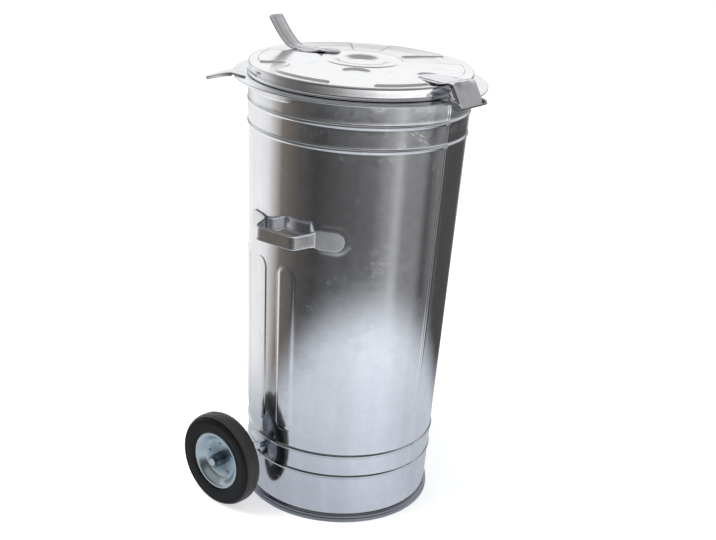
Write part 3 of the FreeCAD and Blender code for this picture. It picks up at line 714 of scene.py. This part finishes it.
def makeHandles():
    radius = wallRadius(handle["middle"]) + can["seatProud"] + 0.4 + handle["sheet"] / 2
    arc = [(radius * math.cos(a), radius * math.sin(a)) for a in np.radians(np.linspace(handle["tabEnd"], handle["bend"] + 1.6, 12))]
    grip = handle["grip"]
    corner = [(handle["reach"] - 5.2, grip + 1.7), (handle["reach"] - 0.2, grip - 4.5)]
    foot_ = (radius * math.cos(math.radians(handle["bend"])), radius * math.sin(math.radians(handle["bend"])) - 0.4)
    half = arc + [foot_] + corner + [(handle["reach"], 20.0), (handle["reach"], 0.0)]
    path = rounded(half + [(x, -y) for x, y in half[-2::-1]], 2)
    path, along = resampled(path, 2.2)
    normal = -inwardOf(path)
    azimuth = np.degrees(np.arctan2(np.abs(path[:, 1]), path[:, 0]))
    toEnd = np.minimum(along, along[-1] - along)
    tall = np.interp(azimuth, (14.5, 19.5), (handle["gripHalf"], handle["tabHalf"]))
    ending = np.clip((handle["tabHalf"] - toEnd) / handle["tabHalf"], 0, 0.998)
    tall = tall * np.sqrt(1 - ending ** 2)
    onWall = smooth((azimuth - 14.5) / 3)
    roll = handle["roll"] - (handle["roll"] - 1.5) * onWall
    fromEdge = np.array([0, 0.18, 0.55, 1.1, 1.8, 2.6, 3.4, 4.2, 4.9, 6.0, 8.5, 12.0])
    side = len(fromEdge) * 2
    count = side * 2 - 2
    up = np.zeros((len(path), count))
    out = np.zeros((len(path), count))
    for i in range(len(path)):
        gap = np.minimum(fromEdge, tall[i])
        gap[-1] = min(gap[-1], tall[i])
        r = min(roll[i], max(tall[i], 0.3))
        bead = np.sqrt(np.maximum(r * r - (gap - r) ** 2, 0)) * (gap < 2 * r)
        thick = np.where(gap < r, bead, np.maximum(bead, np.minimum(handle["sheet"] / 2, r)))
        heights = np.concatenate([-tall[i] + gap, (tall[i] - gap)[::-1]])
        spread = np.concatenate([thick, thick[::-1]])
        up[i, :side] = heights
        out[i, :side] = spread
        up[i, side:] = heights[-2:0:-1]
        out[i, side:] = -spread[-2:0:-1]
    turn = math.radians(handle["azimuth"])

    def place(row, column):
        u, v = out[row, column], up[row, column]
        x = path[row, 0] + normal[row, 0] * u + can["flare"] * v * onWall[row]
        y = path[row, 1] + normal[row, 1] * u
        return np.column_stack([x * math.cos(turn) - y * math.sin(turn), x * math.sin(turn) + y * math.cos(turn), handle["middle"] + v])

    left = sweptPiece("handleLeft", len(path), count, place)
    shadeSmooth(left, 40)
    right = mirroredCopy(left, "handleRight")
    finishPiece(left, "bin", strapZinc, "handle_left")
    finishPiece(right, "bin", strapZinc, "handle_right")
    for strap in (left, right):
        paintFaces(strap, leverZinc, lambda normal, middle: math.hypot(middle.x, middle.y) * 1000 < radius + 2.5)
        # the upward-facing faces get the dark zinc as painted shade
        paintFaces(strap, paintedShadeZinc, lambda normal, middle: normal.z > 0.75)


makeHandles()
print("handles made")


hood = {"half": 36.0, "tip": -150.0, "noseY": -186.0, "sheet": 2.2, "flank": 7.5, "pinY": -266.2, "pinZ": 892.4, "knuckle": 5.4, "bore": 3.3}


def makeStrap():
    knuckle = [(hood["pinY"] + hood["knuckle"] * math.cos(a), hood["pinZ"] + hood["knuckle"] * math.sin(a))
               for a in np.radians(np.arange(175, 395, 15))]
    top = [(-150.0, 929.6), (-160, 929.4), (-180, 929.0), (-200, 928.6), (-214.0, 928.3), (-223, 930.0), (-231.0, 932.3), (-240.0, 933.5),
           (-248.0, 931.8), (-252.9, 923.9), (-258.5, 914.4), (-264.5, 904.8), (-270.6, 894.9)]
    path = np.vstack([rounded(top, 2), knuckle])
    path, along = resampled(path, 1.8)
    inward = inwardOf(path)
    y, z = path.T
    width = np.where(y > hood["noseY"], np.sqrt(np.maximum(hood["half"] ** 2 - (y - hood["noseY"]) ** 2, 0.05)), hood["half"])
    onKnuckle = (z < 897.5) & (y < -255)
    thick = np.where(onKnuckle, hood["knuckle"] - hood["bore"], hood["sheet"])
    last = along[np.argmax(onKnuckle)] if onKnuckle.any() else along[-1]
    flank = np.interp(y, (-246, -238), (hood["flank"], hood["sheet"]))
    flank = np.where(along > last - 22, np.interp(along, (last - 22, last - 4), (hood["flank"], hood["sheet"])), flank)
    flank = np.maximum(np.where(onKnuckle, thick, flank), thick)
    shares = np.array([-1, -0.96, -0.9, -0.83, -0.78, -0.745, -0.71, -0.66, -0.56, -0.42, -0.28, -0.14])
    shares = np.concatenate([shares, [0], -shares[::-1]])
    n = len(shares)
    count = 2 * n + 8
    across = np.zeros((len(path), count))
    depth = np.zeros((len(path), count))
    wallThick = np.minimum(hood["sheet"], width * 0.4)
    for j, share in enumerate(shares):
        across[:, j] = share * (width - 0.9)
        depth[:, j] = 0
        k = 2 * n + 3 - j
        across[:, k] = share * np.maximum(width - wallThick, 0.05)
        depth[:, k] = thick
    for sign, js in ((1, (n, n + 1, n + 2, n + 3)), (-1, (count - 1, count - 2, count - 3, count - 4))):
        for j, (inset, share) in zip(js, ((0.25, 0.04), (0, 0.25), (0, 1.0), (1, 1.0))):
            across[:, j] = sign * (width - wallThick * inset)
            depth[:, j] = flank * share + 0.2 * (share < 0.1)
    # pressed bulge over the fold and a shallow raised panel on the lid
    yGrid, xGrid = np.broadcast_to(y[:, None], across.shape), across
    bulge = 2.6 * np.exp(-((along - np.interp(-247, y[::-1], along[::-1]))[:, None] / 9) ** 2) * smooth((30 - np.abs(xGrid - 2)) / 16)
    panel = 1.5 * smooth((28 - np.abs(xGrid)) / 2.5) * smooth((-160 - yGrid) / 3) * smooth((yGrid + 222) / 5)
    lift = np.where(np.arange(count)[None, :] < n, 1.0, 0.0) * (bulge + panel)
    inner = (np.arange(count)[None, :] > n + 3) & (np.arange(count)[None, :] < count - 4)
    lift = np.where(inner, bulge + panel, lift)

    def place(row, column):
        a, d, up = across[row, column], depth[row, column], lift[row, column]
        return np.column_stack([a, y[row] + inward[row, 0] * (d - up), z[row] + inward[row, 1] * (d - up)])

    strap = sweptPiece("hingeStrap", len(path), count, place)
    shadeSmooth(strap, 40)
    finishPiece(strap, "lid", strapZinc, "hinge_strap")
    # the strap's side edges get the dark zinc as painted shade lines
    paintFaces(strap, paintedShadeZinc, lambda normal, middle: abs(normal.z) < 0.45 and normal.y > -0.3 and middle.z > 0.925)
    # the hood's front faces get the darker zinc as painted shade
    paintFaces(strap, hoodPaintedShadeZinc, lambda normal, middle: normal.y < -0.4 and normal.z > 0.1)


makeStrap()


lever = {"half": 20.0, "flangeHalf": 28.0, "sheet": 3.0, "ridgeHalf": 9.0, "ridge": 1.6, "noseY": 82.0}


def makeLever():
    top = [(62.0, 937.6), (80, 937.3), (97.0, 937.0), (103.5, 934.4), (110.0, 931.9), (116.0, 931.2), (142, 930.4), (168.0, 929.6), (178.0, 930.8),
           (190.0, 937.0), (204.0, 948.0), (220.0, 964.0), (237.0, 985.0)]
    path, along = resampled(rounded(top, 2), 1.8)
    inward = -inwardOf(path)
    y, z = path.T
    width = np.where(y < lever["noseY"], np.sqrt(np.maximum(lever["half"] ** 2 - (y - lever["noseY"]) ** 2, 0.05)), lever["half"])
    flange = smooth((y - 111) / 5) * smooth((153 - y) / 5)
    width = width + (lever["flangeHalf"] - lever["half"]) * flange
    toEnd = along[-1] - along
    width -= 6 * (1 - np.sqrt(np.maximum(1 - np.clip((6 - toEnd) / 6, 0, 1) ** 2, 0)))
    thick = np.full(len(y), lever["sheet"])
    shares = np.array([-1, -0.97, -0.9, -0.8, -0.74, -0.7, -0.6, -0.52, -0.46, -0.4, -0.3, -0.15, 0])
    shares = np.concatenate([shares, -shares[-2::-1]])
    n = len(shares)
    count = 2 * n + 4
    across = np.zeros((len(path), count))
    depth = np.zeros((len(path), count))
    for j, share in enumerate(shares):
        across[:, j] = share * (width - 0.7)
        k = 2 * n + 1 - j
        across[:, k] = share * (width - 0.7)
        depth[:, k] = thick
    for sign, js in ((1, (n, n + 1)), (-1, (count - 1, count - 2))):
        for j, share in zip(js, (0.25, 0.75)):
            across[:, j] = sign * width
            depth[:, j] = thick * share
    ridge = lever["ridge"] * smooth((lever["ridgeHalf"] + 1.5 - np.abs(across)) / 3.0) * smooth((y[:, None] - 66) / 5) * smooth(toEnd[:, None] / 8)
    step = -1.2 * smooth((np.abs(across) - 19.5) / 1.5) * flange[:, None]
    lift = ridge + step

    def place(row, column):
        a, d, up = across[row, column], depth[row, column], lift[row, column]
        return np.column_stack([a, y[row] + inward[row, 0] * (d - up), z[row] + inward[row, 1] * (d - up)])

    blade = sweptPiece("lidLever", len(path), count, place)
    shadeSmooth(blade, 35)
    finishPiece(blade, "lid", leverZinc, "lid_lever")
    # the lever's side edges get the dark zinc as painted shade lines
    paintFaces(blade, paintedShadeZinc, lambda normal, middle: abs(normal.z) < 0.45 and normal.y > -0.3 and middle.z > 0.93)


makeLever()
print("strap and lever made")


wheel = {"x": 259.0, "y": 100.0, "z": 100.0, "tyre": 99.6, "hub": 14.0, "hubHalf": 21.0, "axle": 10.05, "rim": 61.3, "sheet": 2.0,
         "rivets": 5, "rivetCircle": 33.0, "rivetStart": 84.0, "rivetHead": 4.0}


def aroundPin(x, points, name, steps):
    # ring round an axle, from (radius, distance along the axle) points
    return spinPiece(name, points, steps, axis=(1, 0, 0), centre=(x / 1000, wheel["y"] / 1000, wheel["z"] / 1000))


def makeWheel(hand):
    word = "Left" if hand < 0 else "Right"
    tag = word.lower()
    x = hand * wheel["x"]
    half = [(47.8, 0.0), (47.9, 3.1), (51, 6.9), (55.9, 12.7), (58.9, 15.25), (61.6, 15.35), (62.2, 16.2), (62.5, 17.3), (63.6, 18.1), (65.4, 18.6),
            (66.4, 18.7), (67.0, 19.6), (68.6, 19.7), (69.3, 19.0), (74.0, 19.5), (79.0, 19.7), (84.0, 19.6), (88.0, 19.1), (89.0, 18.9),
            (89.5, 19.7), (90.9, 19.6), (91.6, 18.2), (94.2, 17.6), (95.8, 16.6), (96.8, 15.2), (97.2, 13.6), (97.0, 12.6), (98.0, 12.2), (99.0, 10.0),
            (99.4, 7.0), (99.5, 4.0), (98.9, 3.5), (98.9, 2.0), (99.6, 1.4)]
    other = [(r, -w) for r, w in half[1:]]
    tyre = aroundPin(x, half + other[::-1] + half[:1], "tyre" + word, 128)
    shadeSmooth(tyre, 30)
    finishPiece(tyre, "wheel_" + tag, rubber, "tyre_" + tag)
    path = [(wheel["hub"] + 0.2, 2.4), (17.0, 2.4), (37.0, 2.4), (40.0, 2.6), (43.0, 3.4), (45.2, 4.8), (46.8, 6.7), (50, 10.6), (53.0, 14.2),
            (54.8, 16.0), (56.6, 17.1), (58.4, 17.6), (60.4, 17.6), (61.3, 17.3), (61.5, 16.6), (61.2, 16.0), (60.4, 15.7)]
    back = [(59, 15.5), (57.6, 15.3), (56.0, 14.6), (54.4, 13.2), (51.5, 9.8), (48.3, 6.0), (46.4, 3.7), (44.4, 2.0), (41.6, 0.9), (38.6, 0.45),
            (17.0, 0.4), (wheel["hub"] + 0.2, 0.4)]
    for side in (-1, 1):
        kind = "outer" if side == hand else "inner"
        disc = aroundPin(x, [(r, side * w) for r, w in path + back + path[:1]], kind + "Rim" + word, 96)
        shadeSmooth(disc, 35)
        # the inner disc, facing the can, gets the dark zinc as painted shade
        finishPiece(disc, "wheel_" + tag, rimZinc if side == hand else paintedShadeZinc, f"{kind}_rim_disc_{tag}")
    hub, end, bore = wheel["hub"], wheel["hubHalf"], wheel["axle"]
    barrel = [(bore, -end + 0.6), (bore + 0.7, -end), (hub - 0.9, -end), (hub, -end + 0.9), (hub, -3), (hub, 3), (hub, end - 0.9), (hub - 0.9, end),
              (bore + 0.7, end), (bore, end - 0.6), (bore, -end + 0.6)]
    tube = aroundPin(x, barrel, "hubBarrel" + word, 64)
    shadeSmooth(tube, 40)
    finishPiece(tube, "wheel_" + tag, rimZinc, "hub_tube_" + tag)
    heads = []
    for i in range(wheel["rivets"]):
        angle = math.radians(wheel["rivetStart"] + i * 360 / wheel["rivets"])
        centre = (x / 1000, (wheel["y"] + wheel["rivetCircle"] * math.cos(angle)) / 1000,
                  (wheel["z"] + wheel["rivetCircle"] * math.sin(angle)) / 1000)
        dome = [(0.01, 4.6), (1.2, 4.5), (2.4, 4.1), (3.3, 3.4), (3.8, 2.8), (3.9, 2.5), (2.3, 2.45), (2.3, 0)]
        head = spinPiece(f"rivet{word}{i}", dome + [(r, -w) for r, w in dome[-2::-1]], 16, axis=(1, 0, 0), centre=centre)
        heads.append(head)
    rivets = joined(heads, "rimRivets" + word)
    shadeSmooth(rivets, 45)
    finishPiece(rivets, "wheel_" + tag, rimZinc, "rim_rivets_" + tag)


makeWheel(-1)
makeWheel(1)
print("wheels made")


studio = {"nearTo": 0.95, "midFrom": 1.43, "midTo": 3.15, "farFrom": 3.8, "bendMost": 0.6, "bend": 0.17, "bendMiddle": 0.44, "key": 45, "fill": 14, "world": 0.55,
          "ceiling": 0.33}
# what polished zinc mirrors, by compass angle from the front of the studio to its right, as (degrees, brightness)
nearTones = ((-180, 0.9), (-120, 0.75), (-96, 0.7), (-60, 0.72), (-30, 0.78), (0, 0.86), (28, 1.0), (50, 1.0), (72, 0.84), (110, 0.8), (180, 0.9))
midTones = ((-180, 1.0), (-112, 1.0), (-100, 0.9), (-89, 0.56), (-80, 0.2), (-71, 0.145), (-55, 0.09), (-38, 0.05), (-18, 0.08), (2, 0.11),
            (22, 0.15), (37, 0.32), (46, 0.5), (54, 0.26), (74, 0.24), (84, 0.08), (98, 0.22), (110, 0.07), (150, 0.08), (168, 0.5), (180, 1.0))
farTones = ((-180, 0.4), (-155, 0.6), (-130, 1.0), (-105, 0.6), (-90, 0.25), (-74, 0.14), (-56, 0.12), (-40, 0.2), (-20, 0.4), (0, 0.75), (18, 1.15),
            (32, 1.3), (80, 1.3), (96, 0.9), (112, 0.3), (150, 0.3), (180, 0.4))
hazeTones = ((-180, 0.4), (-115, 0.3), (-85, 0.15), (-55, 0.06), (0, 0.06), (55, 0.3), (90, 0.5), (120, 0.4), (180, 0.4))
skyTones = ((-180, 1.0), (-140, 1.0), (-115, 0.7), (-85, 0.2), (-55, 0.06), (0, 0.06), (55, 0.08), (75, 0.25), (100, 0.4), (125, 0.7), (150, 1.0),
            (180, 1.0))


def compassNode(tree, vector):
    # angle round the bin from the photographed side, 0 to 1 with 0.5 in front
    parts = []
    for side in ((-0.7768, -0.6297, 0), (0.6297, -0.7768, 0)):
        dot = tree.nodes.new("ShaderNodeVectorMath")
        dot.operation = "DOT_PRODUCT"
        tree.links.new(vector, dot.inputs[0])
        dot.inputs[1].default_value = side
        parts.append(dot.outputs["Value"])
    angle = mathNode(tree, "ARCTAN2", parts[1], parts[0]).outputs[0]
    return angle, rangeNode(tree, angle, -math.pi, math.pi, 0, 1).outputs[0]


def toneNode(tree, share, tones, tint=(1, 1, 1), warmAt=None):
    stops = []
    for degrees, tone in tones:
        warm = max(0, 1 - abs(degrees - warmAt) / 26) if warmAt else 0
        stops.append(((degrees + 180) / 360, tuple(tone * c * (1 - warm * w) for c, w in zip(tint, (-0.1, 0.06, 0.2)))))
    return rampNode(tree, share, stops).outputs[0]


def makeFloor():
    clearSelection()
    bpy.ops.mesh.primitive_plane_add(size=40, location=(0, 0, -0.0004))
    floor = bpy.context.object
    floor.name = "floor"
    bpy.ops.object.transform_apply(location=True)
    material = bpy.data.materials.new("paleFloorPaintedReflections")
    material.use_nodes = True
    tree = material.node_tree
    tree.nodes.clear()
    output = tree.nodes.new("ShaderNodeOutputMaterial")
    rays = tree.nodes.new("ShaderNodeLightPath")
    place = tree.nodes.new("ShaderNodeTexCoord").outputs["Object"]
    matt = tree.nodes.new("ShaderNodeBsdfDiffuse")
    matt.inputs[0].default_value = (0.86, 0.86, 0.87, 1)
    lift = tree.nodes.new("ShaderNodeEmission")
    lift.inputs[0].default_value = (1, 1, 1, 1)
    lift.inputs[1].default_value = 0.55
    seen = tree.nodes.new("ShaderNodeAddShader")
    tree.links.new(matt.outputs[0], seen.inputs[0])
    tree.links.new(lift.outputs[0], seen.inputs[1])
    # for reflection rays only, the floor glows with painted reflection tones by distance and compass angle, darker
    # close to the bin as painted shade; other rays see the lit floor with an even glow
    far = tree.nodes.new("ShaderNodeVectorMath")
    far.operation = "LENGTH"
    tree.links.new(place, far.inputs[0])
    angle, share = compassNode(tree, place)
    offset = mathNode(tree, "SUBTRACT", angle, studio["bendMiddle"]).outputs[0]
    offset = mathNode(tree, "MULTIPLY", mathNode(tree, "MULTIPLY", offset, offset).outputs[0], studio["bend"]).outputs[0]
    offset = mathNode(tree, "MINIMUM", offset, studio["bendMost"]).outputs[0]
    reach = mathNode(tree, "ADD", far.outputs["Value"], offset).outputs[0]
    leaveNear = rangeNode(tree, reach, studio["nearTo"], studio["midFrom"], 0, 1)
    leaveNear.interpolation_type = "SMOOTHSTEP"
    leaveMid = rangeNode(tree, far.outputs["Value"], studio["midTo"], studio["farFrom"], 0, 1)
    leaveMid.interpolation_type = "SMOOTHSTEP"
    near = rampNode(tree, rangeNode(tree, far.outputs["Value"], 0.2, 1.0, 0, 1).outputs[0],
                    ((0, (0.61, 0.64, 0.71)), (0.45, (0.80, 0.84, 0.91)), (1, (0.97, 1.0, 1.07))))
    close = mixNode(tree, "MULTIPLY", 1, near.outputs[0], toneNode(tree, share, nearTones))
    tone = mixNode(tree, "MIX", leaveNear.outputs[0], close, toneNode(tree, share, midTones, (1.0, 0.985, 0.98), -72))
    tone = mixNode(tree, "MIX", leaveMid.outputs[0], tone, toneNode(tree, share, farTones))
    mirror = tree.nodes.new("ShaderNodeEmission")
    tree.links.new(tone, mirror.inputs[0])
    pick = tree.nodes.new("ShaderNodeMixShader")
    tree.links.new(rays.outputs["Is Glossy Ray"], pick.inputs[0])
    tree.links.new(seen.outputs[0], pick.inputs[1])
    tree.links.new(mirror.outputs[0], pick.inputs[2])
    tree.links.new(pick.outputs[0], output.inputs[0])
    floor.data.materials.append(material)


def makeWorld():
    world = bpy.data.worlds.new("studio")
    bpy.context.scene.world = world
    world.use_nodes = True
    tree = world.node_tree
    tree.nodes.clear()
    output = tree.nodes.new("ShaderNodeOutputWorld")
    rays = tree.nodes.new("ShaderNodeLightPath")
    soft = tree.nodes.new("ShaderNodeBackground")
    soft.inputs[0].default_value = (0.96, 0.98, 1, 1)
    soft.inputs[1].default_value = studio["world"]
    white = tree.nodes.new("ShaderNodeBackground")
    white.inputs[0].default_value = (1, 1, 1, 1)
    towards = tree.nodes.new("ShaderNodeTexCoord").outputs["Generated"]
    height = tree.nodes.new("ShaderNodeSeparateXYZ")
    tree.links.new(towards, height.inputs[0])
    _, share = compassNode(tree, towards)
    rise = rangeNode(tree, height.outputs[2], 0.48, 0.64, 0, 1)
    rise.interpolation_type = "SMOOTHSTEP"
    haze = rangeNode(tree, height.outputs[2], 0.03, 0.15, 0, 1)
    haze.interpolation_type = "SMOOTHSTEP"
    tone = mixNode(tree, "MIX", haze.outputs[0], toneNode(tree, share, hazeTones), toneNode(tree, share, skyTones))
    tone = mixNode(tree, "MIX", rise.outputs[0], tone, (studio["ceiling"],) * 3)
    mirror = tree.nodes.new("ShaderNodeBackground")
    tree.links.new(tone, mirror.inputs[0])
    first = tree.nodes.new("ShaderNodeMixShader")
    tree.links.new(rays.outputs["Is Glossy Ray"], first.inputs[0])
    tree.links.new(soft.outputs[0], first.inputs[1])
    tree.links.new(mirror.outputs[0], first.inputs[2])
    pick = tree.nodes.new("ShaderNodeMixShader")
    tree.links.new(rays.outputs["Is Camera Ray"], pick.inputs[0])
    tree.links.new(first.outputs[0], pick.inputs[1])
    tree.links.new(white.outputs[0], pick.inputs[2])
    tree.links.new(pick.outputs[0], output.inputs[0])


def softLamp(name, place, aim, size, power):
    lamp = bpy.data.lights.new(name, "AREA")
    lamp.shape = "RECTANGLE"
    lamp.size, lamp.size_y = size
    lamp.energy = power
    holder = bpy.data.objects.new(name, lamp)
    bpy.context.scene.collection.objects.link(holder)
    holder.location = place
    look = (np.array(aim) - np.array(place)).tolist()
    from mathutils import Vector
    holder.rotation_euler = Vector(look).to_track_quat("-Z", "Y").to_euler()
    holder.visible_glossy = False


def makeCamera():
    from mathutils import Matrix
    cam = bpy.data.cameras.new("photoCamera")
    cam.lens = 61.4217
    cam.sensor_width = 36
    holder = bpy.data.objects.new("photoCamera", cam)
    bpy.context.scene.collection.objects.link(holder)
    right = (0.646598, -0.760329, 0.061729)
    up = (0.233989, 0.274706, 0.932623)
    back = (-0.726058, -0.588588, 0.355533)
    spot = (-1.846053, -1.521769, 1.399348)
    holder.matrix_world = Matrix([[right[i], up[i], back[i], spot[i]] for i in range(3)] + [[0, 0, 0, 1]])
    bpy.context.scene.camera = holder


makeFloor()
makeWorld()
softLamp("keySoft", (-1.6, 1.2, 2.6), (0, 0, 0.5), (1.8, 1.8), studio["key"])
softLamp("fillSoft", (1.8, -2.2, 2.4), (0, 0, 0.5), (2.2, 2.2), studio["fill"])
makeCamera()
print("studio set")
